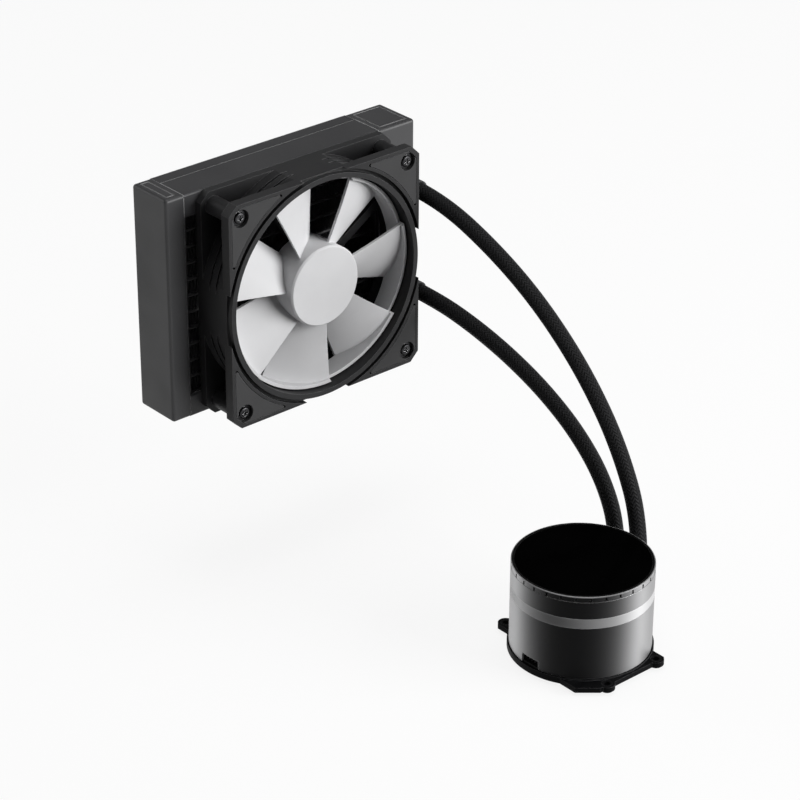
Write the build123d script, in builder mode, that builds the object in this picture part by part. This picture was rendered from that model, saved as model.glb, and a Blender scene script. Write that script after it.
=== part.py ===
from build123d import *
from math import atan2, degrees, pi, radians, sin, sqrt, tan
import os

# All in one liquid cooler: a radiator with one fan on its front, two hoses and a round pump head.
# Frame: origin at the centre of the radiator's rear screw pattern, +X along the radiator,
# +Y out of its rear face, +Z up. The fan blows from the front (-Y) into the radiator.

# Radiator. Its core starts beyond the fan's left side, and the fan's right side laps the right tank.
radiator_depth = 27.0
left_tank_length = 10.8
right_tank_length = 23.5
core_left_margin = 6.7
right_tank_lap = 4.0
tank_wall = 1.6
tank_edge_radius = 1.6
tank_line_inset = 3.0
tank_line_width = 0.5
tank_line_depth = 0.3
header_thickness = 1.5
channel_sheet = 1.2
channel_edge = 7.5
channel_lap = 4.5
channel_bend_radius = 1.1
channel_step_width = 8.2
channel_step = 0.35
core_sheet = 0.8
core_edge = 0.5
tube_count = 10
tube_thickness = 1.8
tube_inset = 2.5
tube_wall = 0.4
fin_inset = 3.0
fin_folds = 22
fin_rise = 0.9
thread_radius = 1.75
rear_thread_radius = 1.45

# Hose ports and hoses
hose_diameter = 8.4
port_edge = 9.5
port_height = 28.3
port_flange_radius = 6.2
port_flange = 2.0
port_flange_bevel = 0.5
port_length = 8.0
hose_bore_radius = 2.5
collar_wall = 0.8
collar_length = 7.0

# Fan. Depths are counted from the radiator towards the front.
fan_size = 120.0
fan_depth = 26.0
fan_corner = 5.0
hole_edge = 7.5
front_flange = 5.6
rear_flange = 4.4
duct_margin = 3.2
duct_wall = 2.7
lip_groove_width = 2.0
lip_groove_depth = 3.2
band_flat = 30.0
band_groove_depth = 0.9
band_groove_width = 1.6
band_groove_starts = (9.5, 14.5)
post_radius = 4.8
post_rib = 2.0
screw_hole_radius = 2.15
pad_margin = 1.8
pad_thickness = 1.6
pad_gap = 0.25
pad_arc_gap = 1.6
pad_corner_radius = 0.8
head_radius = 3.0
head_height = 2.2
head_flange_radius = 4.0
head_flange = 0.7
head_clearance = 0.7
head_drop = 0.4
head_slot_width = 0.9
screw_reach = 3.5
hub_base_inset = 0.8
hub_base = 2.5
strut_count = 4
strut_width = 4.5
strut_depth = 4.0
strut_start_angle = 20
strut_slant = 12
bearing_radius = 4.0
bearing_tube_wall = 0.8
bearing_start = 3.0
bearing_length = 13.0
shaft_radius = 1.5
shaft_clearance = 0.03
shaft_start = 1.6
clip_thickness = 0.5
clip_neck_radius = 1.2
clip_clearance = 0.3
stator_shoulder_radius = 5.6
stator_start = 8.0
stator_length = 7.0
stator_poles = 4
stator_ring = 2.4
pole_shoe = 2.0
pole_width = 4.0
coil_wrap = 1.4
coil_clearance = 0.5
fan_board_inset = 3.3
board_thickness = 1.2
air_gap = 0.6
magnet_wall = 2.2
magnet_length = 10.0
yoke_wall = 1.2
yoke_gap = 0.1
yoke_inset = 0.5
hub_wall = 1.6
hub_radius = 21.3
hub_bevel = 0.8
hub_start = 5.5
hub_drop = 1.2
boss_wall = 2.2
boss_clearance = 1.4
blade_count = 7
blade_thickness = 1.6
blade_camber = 0.07
blade_root_inset = 5.0
blade_middle_offset = 17.0
blade_tip_offset = 1.0
blade_root_drop = 2.0
blade_middle_drop = 1.4
blade_tip_drop = 1.2
blade_back_drop = 0.9
blade_root_chord = 15.0
blade_middle_chord = 26.0
blade_tip_chord = 37.0
ring_wall = 1.7
ring_gap = 0.8
ring_clearance = 4.5
ring_drop = 3.5
ring_step = 3.2

# Pump head. Heights are counted from the bracket's underside.
pump_x = 31.5
pump_y = -207.0
pump_base_z = -147.2
pump_radius = 35.0
shell_wall = 2.0
bracket_height = 3.3
light_band_start = 31.5
light_band_height = 5.2
collar_rise = 12.2
band_sleeve = 1.0
band_lap = 1.5
cap_height = 2.6
cap_gap = 0.3
rim_width = 1.8
rim_bevel = 0.6
lens_thickness = 1.4
lens_drop = 0.2
shelf_thickness = 2.2
shelf_width = 3.0
skirt_wall = 1.2
skirt_gap = 0.4
snap_height = 0.8
snap_reach = 0.6
notch_count = 24
notch_width = 0.9
notch_depth = 0.6
notch_height = 2.0
led_board_thickness = 1.4
led_board_bore = 10.0
control_board_thickness = 1.6
control_board_gap = 0.6
control_board_rise = 3.4
housing_gap = 3.0
housing_top = 20.4
bracket_lap = 1.0
spigot_gap = 0.3
plate_margin = 1.2
plate_thickness = 3.0
plate_proud = 1.5
plate_fin_pitch = 2.4
plate_fin_thickness = 0.9
plate_fin_height = 2.7
plate_fin_gap = 0.6
chamber_margin = 1.4
lower_chamber_height = 3.5
gasket_inset = 2.8
gasket_width = 1.8
gasket_height = 1.4
plate_screw_count = 8
plate_screw_edge = 2.5
plate_screw_radius = 1.25
plate_screw_head = 2.2
plate_screw_length = 8.0
chamber_floor = 8.4
pin_radius = 1.25
pin_boss_radius = 2.6
pin_boss_height = 2.2
feed_hole_radius = 1.8
feed_hole_circle = 5.6
return_hole_x = 5.0
return_hole_inset = 1.5
return_hole_radius = 2.0
elbow_way_start = 4.0
can_radius = 8.8
can_wall = 0.8
can_headroom = 0.9
can_flange = 1.2
can_flange_radius = 20.0
impeller_radius = 12.6
impeller_gap = 0.9
impeller_disc = 1.4
impeller_drop = 0.8
impeller_bush_radius = 3.0
impeller_sleeve_radius = 7.6
impeller_sleeve_wall = 0.8
impeller_headroom = 1.8
impeller_blades = 6
impeller_blade_wall = 1.0
impeller_blade_rise = 1.7
impeller_blade_sweep = 4.5
running_gap = 0.3
pin_clearance = 0.05
pump_stator_rise = 3.5
pump_stator_ring = 3.2
pump_stator_poles = 6
pump_pole_width = 3.0
pump_coil_start_gap = 1.4
pump_coil_end_gap = 0.4
pump_coil_headroom = 1.6
board_post_radius = 2.0
board_post_inset = 3.0
elbow_radius = 4.0
elbow_height = 11.2
elbow_standoff = 6.0
elbow_bend = 5.0
elbow_seat = 5.0
elbow_nut_radius = 4.9
elbow_nut_height = 2.6
elbow_clearance = 0.3
front_elbow_offset = 2.0
rear_elbow_offset = 17.7
elbow_top = 20.2
bracket_margin = 0.9
wing_height = 2.7
wing_margin = 1.5
lug_reach = 31.0
lug_corner = 28.7
lug_bevel_along = 9.2
lug_bevel_across = 7.9
ear_x = 16.5
ear_reach = 4.24
ear_radius = 4.0
ear_bush_radius = 2.5
ear_hole_radius = 1.6
ear_flange_radius = 3.2
ear_flange = 0.8
window_width = 11.2
window_height = 5.0
window_offset = -1.2
socket_wall = 0.8
socket_depth = 6.0
socket_pins = 5
socket_pin = 0.6
socket_pin_pitch = 2.0
socket_pin_drop = 1.0

# Hose routes, from the radiator port to the pump elbow: straight runs whose corners are rounded.
upper_route = [
    (70.0, -35.0, 28.3), (70.0, -58.7, 28.3), (70.5, -99.4, 14.4), (71.0, -133.4, -3.9),
    (71.5, -164.3, -29.2), (72.0, -188.7, -59.5), (72.5, -205.0, -96.2), (72.5, -205.0, -127.0),
]
lower_route = [
    (70.0, -35.0, -28.3), (70.0, -57.0, -28.3), (70.4, -83.9, -32.4), (70.8, -110.4, -39.3),
    (71.2, -136.0, -49.2), (71.7, -159.6, -63.1), (72.1, -178.6, -81.8), (72.5, -189.3, -106.0),
    (72.5, -189.3, -127.0),
]

# Radiator and fan places that follow from the sizes
fan_half = fan_size / 2
hole_half = fan_half - hole_edge
radiator_half = hole_half + channel_edge
radiator_height = 2 * radiator_half
core_left = -fan_half - core_left_margin
core_right = fan_half - right_tank_lap
core_length = core_right - core_left
core_middle = (core_left + core_right) / 2
port_x = core_right + right_tank_length - port_edge
channel_flange = channel_edge + channel_lap
core_half = radiator_half - channel_flange - core_edge
tube_pitch = (2 * core_half + tube_thickness) / (tube_count + 1)
tube_width = radiator_depth - 2 * tube_inset
fin_gap = tube_pitch - tube_thickness
fin_depth = radiator_depth - 2 * fin_inset
duct_radius = fan_half - duct_margin
duct_outer = duct_radius + duct_wall
duct_middle = duct_radius + duct_wall / 2
band_radius = sqrt(fan_half ** 2 + (band_flat / 2) ** 2)
post_length = fan_depth - rear_flange - front_flange
head_floor = fan_depth - head_height - head_drop
ring_radius = duct_radius - ring_gap
ring_start = strut_depth + ring_clearance
ring_length = fan_depth - ring_drop - ring_start
blade_back = ring_start - blade_back_drop
hub_front = fan_depth - hub_drop
hub_inside = hub_front - hub_wall
hub_base_radius = hub_radius - hub_base_inset
magnet_radius = hub_radius - hub_wall - yoke_gap - yoke_wall
yoke_radius = magnet_radius + yoke_wall
stator_radius = magnet_radius - magnet_wall - air_gap
bearing_tube_radius = bearing_radius + bearing_tube_wall
bearing_top = bearing_start + bearing_length
hub_bore_radius = bearing_radius - shaft_radius / 2
radiator_middle = Plane.XZ.offset(radiator_depth / 2)
fan_plane = Plane.XZ.offset(radiator_depth)
fan_section = Plane(origin=(0, -radiator_depth, 0), x_dir=(1, 0, 0), z_dir=(0, 0, -1))
fan_axis = Axis((0, -radiator_depth, 0), (0, -1, 0))

# Pump places that follow from the sizes
pump_plane = Plane(origin=(pump_x, pump_y, pump_base_z))
pump_section = Plane(origin=(pump_x, pump_y, pump_base_z), x_dir=(1, 0, 0), z_dir=(0, -1, 0))
pump_axis = Axis((pump_x, pump_y, pump_base_z), (0, 0, 1))
shell_bore = pump_radius - shell_wall
light_band_top = light_band_start + light_band_height
pump_height = light_band_top + collar_rise
lens_radius = pump_radius - rim_width
shelf_radius = shell_bore - shelf_width
control_board_radius = shell_bore - band_sleeve - control_board_gap
control_board_start = light_band_start + control_board_rise
housing_radius = shell_bore - housing_gap
bracket_bore = housing_radius - bracket_lap
spigot_radius = bracket_bore - spigot_gap
plate_radius = spigot_radius - plate_margin
plate_top = plate_thickness - plate_proud
plate_screw_circle = plate_radius - plate_screw_edge
gasket_radius = plate_screw_circle - gasket_inset
lower_chamber_radius = gasket_radius - gasket_width - chamber_margin
plate_fin_length = sqrt(2) * (lower_chamber_radius - plate_fin_gap)
plate_fins = int(plate_fin_length / plate_fin_pitch) + 1
board_post_circle = housing_radius - board_post_inset
chamber_radius = impeller_radius + impeller_gap
can_top = control_board_start - can_headroom
impeller_top = can_top - can_wall - impeller_headroom
impeller_disc_top = housing_top - impeller_drop
pump_stator_start = housing_top + pump_stator_rise
pump_stator_length = control_board_start - pump_coil_headroom - coil_wrap - pump_stator_start
elbow_reach = pump_radius + elbow_standoff
bracket_ring_radius = pump_radius + bracket_margin
ear_y = sqrt((pump_radius + ear_reach) ** 2 - ear_x ** 2)
wing_half_width = ear_y + wing_margin


os.makedirs("parts", exist_ok=True)


def save(builder, name):
    """Labels a finished piece and writes it."""
    builder.part.label = name
    export_step(builder.part, f"parts/{name}.step")


# End tanks: deep drawn aluminium boxes, open towards the core, with a pressed line round each end face.
def end_tank(name, start, length, open_right):
    with BuildPart() as tank:
        with BuildSketch(Plane.YZ.offset(start)):
            with Locations((-radiator_depth / 2, 0)):
                Rectangle(radiator_depth, radiator_height)
        extrude(amount=length)
        outer_end = tank.faces().sort_by(Axis.X)[0 if open_right else -1]
        long_edges = tank.edges().filter_by(Axis.X)
        fillet(long_edges + outer_end.edges(), tank_edge_radius)
        inner_start = start + tank_wall if open_right else start
        with BuildSketch(Plane.YZ.offset(inner_start)):
            with Locations((-radiator_depth / 2, 0)):
                RectangleRounded(radiator_depth - 2 * tank_wall, radiator_height - 2 * tank_wall,
                                 tank_edge_radius / 2)
        extrude(amount=length - tank_wall, mode=Mode.SUBTRACT)
        for side in (-1, 1):
            with BuildSketch(Plane.XY.offset(side * radiator_half)):
                with Locations((start + length / 2, -radiator_depth / 2)):
                    Rectangle(length - 2 * tank_line_inset, radiator_depth - 2 * tank_line_inset)
                    Rectangle(length - 2 * (tank_line_inset + tank_line_width),
                              radiator_depth - 2 * (tank_line_inset + tank_line_width), mode=Mode.SUBTRACT)
            extrude(amount=tank_line_depth, both=True, mode=Mode.SUBTRACT)
        if not open_right:
            with Locations(*(Location((port_x, -radiator_depth, side * port_height), (90, 0, 0))
                             for side in (-1, 1))):
                Cylinder(hose_bore_radius, 4 * tank_wall, mode=Mode.SUBTRACT)
    save(tank, name)


end_tank("left_tank", core_left - left_tank_length, left_tank_length, True)
end_tank("right_tank", core_right, right_tank_length, False)

# The divider sends the coolant out through the upper tubes and back through the lower ones.
with BuildPart() as tank_divider:
    with BuildSketch(Plane.XY.offset(-tank_wall / 2)):
        with Locations((core_right + (right_tank_length - tank_wall) / 2, -radiator_depth / 2)):
            Rectangle(right_tank_length - tank_wall, radiator_depth - 2 * tank_wall)
    extrude(amount=tank_wall)
save(tank_divider, "tank_divider")

# Core: flat tubes and two side sheets brazed into two header plates.
tube_places = [(0, (row - (tube_count - 1) / 2) * tube_pitch) for row in range(tube_count)]
with BuildPart() as core_tubes:
    for plate_start in (core_left, core_right - header_thickness):
        with BuildSketch(Plane.YZ.offset(plate_start)):
            with Locations((-radiator_depth / 2, 0)):
                Rectangle(radiator_depth - 2 * channel_sheet, radiator_height - 2 * channel_sheet)
        extrude(amount=header_thickness)
    with BuildSketch(Plane.YZ.offset(core_left)):
        with Locations((-radiator_depth / 2, 0)):
            with Locations(*tube_places):
                SlotOverall(tube_width, tube_thickness)
            with GridLocations(0, 2 * core_half + core_sheet, 1, 2):
                Rectangle(radiator_depth - 2 * channel_sheet, core_sheet)
    extrude(amount=core_length)
    with BuildSketch(Plane.YZ.offset(core_left)):
        with Locations((-radiator_depth / 2, 0)):
            with Locations(*tube_places):
                SlotOverall(tube_width - 2 * tube_wall, tube_thickness - 2 * tube_wall)
    extrude(amount=core_length, mode=Mode.SUBTRACT)
save(core_tubes, "core_tubes")

# Fin strips: thin sheet folded in a zigzag whose crests touch the tubes.
fin_length = core_length - 2 * header_thickness
fin_step = fin_length / (2 * fin_folds)
for row in range(tube_count + 1):
    row_height = (row - tube_count / 2) * tube_pitch
    lower_line = []
    upper_line = []
    for fold in range(2 * fin_folds + 1):
        across = fold * fin_step - fin_length / 2
        crest = fold % 2
        lower_line.append((across, row_height - fin_gap / 2 + crest * (fin_gap - fin_rise)))
        upper_line.append((across, row_height - fin_gap / 2 + fin_rise + crest * (fin_gap - fin_rise)))
    with BuildPart() as fin_row:
        with BuildSketch(Plane(origin=(core_middle, -(radiator_depth - fin_depth) / 2, 0), x_dir=(1, 0, 0),
                               z_dir=(0, -1, 0))):
            Polygon(lower_line + upper_line[::-1])
        extrude(amount=fin_depth)
    save(fin_row, f"fin_row_{row + 1:02d}")

# Side channels: folded sheet that ties the tanks together and holds the screw threads. The fan's
# screws fill the front ones. The rear ones stay free and have the bare bore of the thread.
for name, side in (("upper", 1), ("lower", -1)):
    with BuildPart() as channel:
        with BuildSketch(Plane.YZ.offset(core_left)) as fold:
            with Locations((-radiator_depth / 2, side * (radiator_half - channel_flange / 2))):
                Rectangle(radiator_depth, channel_flange)
            folds = fold.vertices().sort_by(Axis.Z)
            fillet(folds[-2:] if side > 0 else folds[:2], channel_bend_radius)
            with Locations((-radiator_depth / 2, side * (radiator_half - channel_sheet - channel_flange / 2))):
                Rectangle(radiator_depth - 2 * channel_sheet, channel_flange, mode=Mode.SUBTRACT)
            with Locations((-channel_step_width / 2, side * radiator_half)):
                Rectangle(channel_step_width, 2 * channel_step, mode=Mode.SUBTRACT)
        extrude(amount=core_length)
        for flange_y, hole_radius in ((-radiator_depth, thread_radius), (0, rear_thread_radius)):
            with Locations(*(Location((across * hole_half, flange_y, side * hole_half), (90, 0, 0))
                             for across in (-1, 1))):
                Cylinder(hole_radius, 4 * channel_sheet, mode=Mode.SUBTRACT)
    save(channel, f"{name}_channel")

# Hose ports: turned stubs brazed to the right tank's front face.
for name, side in (("upper", 1), ("lower", -1)):
    with BuildPart() as port:
        with BuildSketch(Plane(origin=(port_x, -radiator_depth, side * port_height), x_dir=(1, 0, 0),
                               z_dir=(0, 0, -1))):
            Polygon([(hose_bore_radius, 0), (port_flange_radius, 0),
                     (port_flange_radius, port_flange - port_flange_bevel),
                     (port_flange_radius - port_flange_bevel, port_flange),
                     (hose_diameter / 2 + collar_wall, port_flange),
                     (hose_diameter / 2 + collar_wall, port_length), (hose_bore_radius, port_length)])
        revolve(axis=Axis((port_x, -radiator_depth, side * port_height), (0, -1, 0)))
    save(port, f"{name}_port")


# Corner of the fan frame between the duct and the two sides, shrunk by a gap.
def corner_outline(side_x, side_z, gap):
    reach = fan_half - pad_margin - gap
    with BuildSketch(Plane.XY) as corner:
        with Locations((side_x * reach / 2, side_z * reach / 2)):
            Rectangle(reach, reach)
        far_corner = corner.vertices().sort_by_distance((side_x * fan_size, side_z * fan_size, 0))[0]
        chamfer(far_corner, fan_corner)
        Circle(duct_outer + lip_groove_width + pad_arc_gap + gap, mode=Mode.SUBTRACT)
        fillet(corner.vertices(), pad_corner_radius)
    return corner.sketch


corner_sides = [(-1, 1), (1, 1), (1, -1), (-1, -1)]
screw_places = [(side_x * hole_half, side_z * hole_half) for side_x, side_z in corner_sides]

# Fan frame: duct, flanges front and back, a grooved middle band that the four sides cut flat,
# ribbed corner posts, and the motor base on four slanted struts.
with BuildPart(fan_plane) as fan_frame:
    for start, thickness in ((0, rear_flange), (fan_depth - front_flange, front_flange)):
        with BuildSketch(fan_plane.offset(start)) as flange:
            Rectangle(fan_size, fan_size)
            chamfer(flange.vertices(), fan_corner)
        extrude(amount=thickness)
    with BuildSketch(fan_plane.offset(rear_flange)):
        Circle(band_radius)
        Rectangle(fan_size, fan_size, mode=Mode.INTERSECT)
    extrude(amount=post_length)
    for start in band_groove_starts:
        with BuildSketch(fan_plane.offset(start)):
            Circle(band_radius + band_groove_depth)
            Circle(band_radius - band_groove_depth, mode=Mode.SUBTRACT)
        extrude(amount=band_groove_width, mode=Mode.SUBTRACT)
    with BuildSketch(fan_plane.offset(rear_flange)):
        with Locations(*screw_places):
            Circle(post_radius)
        with PolarLocations((hole_half * sqrt(2) + duct_middle) / 2, 4, start_angle=45):
            Rectangle(hole_half * sqrt(2) - duct_middle, post_rib)
    extrude(amount=post_length)
    with BuildSketch(fan_plane):
        Circle(duct_radius)
    extrude(amount=fan_depth, mode=Mode.SUBTRACT)
    with BuildSketch(fan_plane.offset(fan_depth - lip_groove_depth)):
        Circle(duct_outer + lip_groove_width)
        Circle(duct_outer, mode=Mode.SUBTRACT)
    extrude(amount=lip_groove_depth, mode=Mode.SUBTRACT)
    with BuildSketch(fan_plane.offset(fan_depth - pad_thickness)):
        for side_x, side_z in corner_sides:
            add(corner_outline(side_x, side_z, 0))
    extrude(amount=pad_thickness, mode=Mode.SUBTRACT)
    with BuildSketch(fan_plane):
        with Locations(*screw_places):
            Circle(screw_hole_radius)
    extrude(amount=fan_depth, mode=Mode.SUBTRACT)
    with BuildSketch(fan_plane.offset(head_floor)):
        with Locations(*screw_places):
            Circle(head_flange_radius + head_clearance)
    extrude(amount=fan_depth, mode=Mode.SUBTRACT)
    with BuildSketch(fan_plane):
        Circle(hub_base_radius)
        Circle(hub_bore_radius, mode=Mode.SUBTRACT)
    extrude(amount=hub_base)
    with BuildSketch(fan_plane):
        Circle(hub_base_radius)
    extrude(amount=clip_thickness * 2)
    with BuildSketch(fan_plane):
        with PolarLocations(0, strut_count, start_angle=strut_start_angle):
            with Locations(Location(((hub_base_radius + duct_radius) / 2, 0, 0), (0, 0, strut_slant))):
                Rectangle(duct_radius - hub_base_radius + strut_width, strut_width)
        Circle(hub_base_radius - duct_wall / 2, mode=Mode.SUBTRACT)
    extrude(amount=strut_depth)
    with BuildSketch(fan_plane.offset(hub_base)):
        Circle(stator_shoulder_radius)
        Circle(bearing_radius, mode=Mode.SUBTRACT)
    extrude(amount=stator_start - hub_base)
    with BuildSketch(fan_plane.offset(stator_start)):
        Circle(bearing_tube_radius)
        Circle(bearing_radius, mode=Mode.SUBTRACT)
    extrude(amount=bearing_top - stator_start)
save(fan_frame, "fan_frame")

# Rubber pads let into the front corners, open round the screw heads.
for number, (side_x, side_z) in enumerate(corner_sides):
    with BuildPart() as corner_pad:
        with BuildSketch(fan_plane.offset(fan_depth - pad_thickness)):
            add(corner_outline(side_x, side_z, pad_gap))
            with Locations((side_x * hole_half, side_z * hole_half)):
                Circle(head_flange_radius + head_clearance, mode=Mode.SUBTRACT)
        extrude(amount=pad_thickness)
    save(corner_pad, f"corner_pad_{number + 1}")

# Four long flanged screws reach through the fan into the radiator's channels.
with BuildPart(fan_plane) as fan_screws:
    with BuildSketch(fan_plane.offset(-screw_reach)):
        with Locations(*screw_places):
            Circle(thread_radius)
    extrude(amount=screw_reach + head_floor)
    for radius, height in ((head_flange_radius, head_flange), (head_radius, head_height)):
        with BuildSketch(fan_plane.offset(head_floor)):
            with Locations(*screw_places):
                Circle(radius)
        extrude(amount=height)
    head_rims = fan_screws.faces().sort_by(Axis.Y)[:4].edges()
    fillet(head_rims, head_height * 0.45)
    with BuildSketch(fan_plane.offset(head_floor + head_height / 2)):
        with Locations(*screw_places):
            Rectangle(head_radius * 1.1, head_slot_width)
            Rectangle(head_slot_width, head_radius * 1.1)
    extrude(amount=head_height, mode=Mode.SUBTRACT)
save(fan_screws, "fan_screws")


# Blade section on a plane square to the radius: a thin cambered plate. Its leading edge lies
# towards the front at the counter-clockwise end.
def blade_section(radius, chord, rise):
    half = chord / 2
    camber = chord * blade_camber
    half_wall = blade_thickness / 2
    plane = Plane(origin=(radius, 0, blade_back + rise / 2), x_dir=(0, 1, 0), z_dir=(1, 0, 0))
    with BuildSketch(plane) as section:
        with BuildLine():
            upper = ThreePointArc((-half, -rise / 2 + half_wall), (0, camber + half_wall),
                                  (half, rise / 2 + half_wall))
            lower = ThreePointArc((-half, -rise / 2 - half_wall), (0, camber - half_wall),
                                  (half, rise / 2 - half_wall))
            Line(upper @ 0, lower @ 0)
            Line(upper @ 1, lower @ 1)
        make_face()
    return section.sketch


blade_tip_radius = ring_radius - ring_wall / 2
with BuildPart() as blade:
    add(blade_section(hub_radius - blade_root_inset, blade_root_chord, ring_length - blade_root_drop))
    add(blade_section(hub_radius + blade_middle_offset, blade_middle_chord, ring_length - blade_middle_drop))
    add(blade_section(ring_radius + blade_tip_offset, blade_tip_chord, ring_length - blade_tip_drop))
    loft()
    with BuildSketch():
        Circle(blade_tip_radius)
        Circle(hub_radius - hub_wall / 2, mode=Mode.SUBTRACT)
    extrude(amount=fan_depth, mode=Mode.INTERSECT)

# Fan rotor: hub cup, seven blades and the tip ring, whose front rim steps up at each blade.
boss_radius = shaft_radius + boss_wall
boss_start = bearing_top + boss_clearance
rim_chord = 2 * ring_radius * sin(pi / blade_count)
rim_tilt = degrees(atan2(ring_step, rim_chord))
rim_turn = degrees(atan2(blade_tip_chord / 2, ring_radius)) - 180 / blade_count
with BuildPart(fan_plane) as fan_rotor:
    with BuildSketch(fan_section):
        Polygon([(0, hub_front), (hub_radius - hub_bevel, hub_front), (hub_radius, hub_front - hub_bevel),
                 (hub_radius, hub_start), (hub_radius - hub_wall, hub_start),
                 (hub_radius - hub_wall, hub_inside), (boss_radius, hub_inside), (boss_radius, boss_start),
                 (0, boss_start)])
    revolve(axis=fan_axis)
    with BuildSketch(fan_section):
        Polygon([(shaft_radius, boss_start), (shaft_radius, hub_inside), (0, hub_inside), (0, boss_start)])
    revolve(axis=fan_axis, mode=Mode.SUBTRACT)
    with BuildSketch(fan_plane.offset(ring_start)):
        Circle(ring_radius)
        Circle(ring_radius - ring_wall, mode=Mode.SUBTRACT)
    extrude(amount=ring_length)
    with PolarLocations(ring_radius, blade_count, start_angle=rim_turn):
        with Locations(Location((0, 0, ring_start + ring_length - ring_step / 2), (rim_tilt, 0, 0))):
            Box(6 * ring_step, rim_chord, 4 * ring_step, align=(Align.CENTER, Align.CENTER, Align.MIN),
                mode=Mode.SUBTRACT)
    with PolarLocations(0, blade_count):
        add(blade.part)
save(fan_rotor, "fan_rotor")

# Steel cup pressed into the hub, with the ring magnet inside it.
yoke_start = hub_start + yoke_inset
with BuildPart() as rotor_yoke:
    with BuildSketch(fan_section):
        Polygon([(magnet_radius, yoke_start), (yoke_radius, yoke_start), (yoke_radius, hub_inside),
                 (boss_radius, hub_inside), (boss_radius, hub_inside - yoke_wall),
                 (magnet_radius, hub_inside - yoke_wall)])
    revolve(axis=fan_axis)
save(rotor_yoke, "rotor_yoke")

with BuildPart() as rotor_magnet:
    with BuildSketch(fan_plane.offset(yoke_start + yoke_inset)):
        Circle(magnet_radius)
        Circle(magnet_radius - magnet_wall, mode=Mode.SUBTRACT)
    extrude(amount=magnet_length)
save(rotor_magnet, "rotor_magnet")

# Shaft with a neck for its clip.
clip_start = bearing_start - clip_thickness - clip_clearance
with BuildPart() as fan_shaft:
    with BuildSketch(fan_section):
        Polygon([(0, shaft_start), (shaft_radius, shaft_start), (shaft_radius, clip_start),
                 (clip_neck_radius, clip_start), (clip_neck_radius, clip_start + clip_thickness),
                 (shaft_radius, clip_start + clip_thickness), (shaft_radius, hub_inside), (0, hub_inside)])
    revolve(axis=fan_axis)
save(fan_shaft, "fan_shaft")

with BuildPart() as shaft_clip:
    with BuildSketch(fan_plane.offset(clip_start)):
        Circle(hub_bore_radius - running_gap)
        Circle(clip_neck_radius, mode=Mode.SUBTRACT)
    extrude(amount=clip_thickness)
save(shaft_clip, "shaft_clip")

with BuildPart() as fan_bearing:
    with BuildSketch(fan_plane.offset(bearing_start)):
        Circle(bearing_radius)
        Circle(shaft_radius + shaft_clearance, mode=Mode.SUBTRACT)
    extrude(amount=bearing_length)
save(fan_bearing, "fan_bearing")

# Stator: laminated core with four poles, and a winding on each pole.
with BuildPart() as fan_stator:
    with BuildSketch(fan_plane.offset(stator_start)):
        Circle(stator_radius)
        Circle(stator_radius - pole_shoe, mode=Mode.SUBTRACT)
        with PolarLocations(0, stator_poles, start_angle=45):
            with Locations((stator_radius, 0)):
                Rectangle(4 * pole_shoe, pole_width, mode=Mode.SUBTRACT)
        Circle(bearing_tube_radius + stator_ring)
        with PolarLocations(0, stator_poles):
            with Locations((stator_radius / 2, 0)):
                Rectangle(stator_radius - pole_shoe, pole_width)
        Circle(bearing_tube_radius, mode=Mode.SUBTRACT)
    extrude(amount=stator_length)
save(fan_stator, "fan_stator")

coil_start = bearing_tube_radius + stator_ring + coil_clearance
coil_length = stator_radius - pole_shoe - coil_clearance - coil_start
with BuildPart(fan_plane) as fan_coils:
    with PolarLocations(0, stator_poles):
        with Locations((coil_start + coil_length / 2, 0, stator_start + stator_length / 2)):
            Box(coil_length, pole_width + 2 * coil_wrap, stator_length + 2 * coil_wrap)
            Box(coil_length, pole_width, stator_length, mode=Mode.SUBTRACT)
save(fan_coils, "fan_coils")

with BuildPart() as fan_board:
    with BuildSketch(fan_plane.offset(hub_base)):
        Circle(hub_radius - fan_board_inset)
        Circle(stator_shoulder_radius, mode=Mode.SUBTRACT)
    extrude(amount=board_thickness)
save(fan_board, "fan_board")

# Pump shell: lower shell with the cable window and the elbow openings.
elbow_offsets = {"front": front_elbow_offset, "rear": rear_elbow_offset}
with BuildPart(pump_plane) as lower_shell:
    with BuildSketch(pump_plane.offset(bracket_height)):
        Circle(pump_radius)
        Circle(shell_bore, mode=Mode.SUBTRACT)
    extrude(amount=light_band_start - bracket_height)
    for offset_y in elbow_offsets.values():
        with Locations(Location((pump_radius, offset_y, elbow_height), (0, 90, 0))):
            Cylinder(elbow_radius + elbow_clearance, pump_radius, mode=Mode.SUBTRACT)
    with Locations((-pump_radius, window_offset, bracket_height)):
        Box(pump_radius, window_width, 2 * window_height, mode=Mode.SUBTRACT)
save(lower_shell, "lower_shell")

# Light band: translucent ring whose inner sleeve laps both shells.
with BuildPart() as light_band:
    with BuildSketch(pump_section):
        Polygon([(shell_bore - band_sleeve, light_band_start - band_lap), (shell_bore, light_band_start - band_lap),
                 (shell_bore, light_band_start), (pump_radius, light_band_start), (pump_radius, light_band_top),
                 (shell_bore, light_band_top), (shell_bore, light_band_top + band_lap),
                 (shell_bore - band_sleeve, light_band_top + band_lap)])
    revolve(axis=pump_axis)
save(light_band, "light_band")

# Upper shell: collar with an inner shelf that the cap snaps under.
cap_start = pump_height - cap_height
shelf_top = cap_start - cap_gap
shelf_bottom = shelf_top - shelf_thickness
with BuildPart() as upper_shell:
    with BuildSketch(pump_section):
        Polygon([(shell_bore, light_band_top), (pump_radius, light_band_top), (pump_radius, shelf_top),
                 (shelf_radius, shelf_top), (shelf_radius, shelf_bottom), (shell_bore, shelf_bottom)])
    revolve(axis=pump_axis)
save(upper_shell, "upper_shell")

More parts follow.
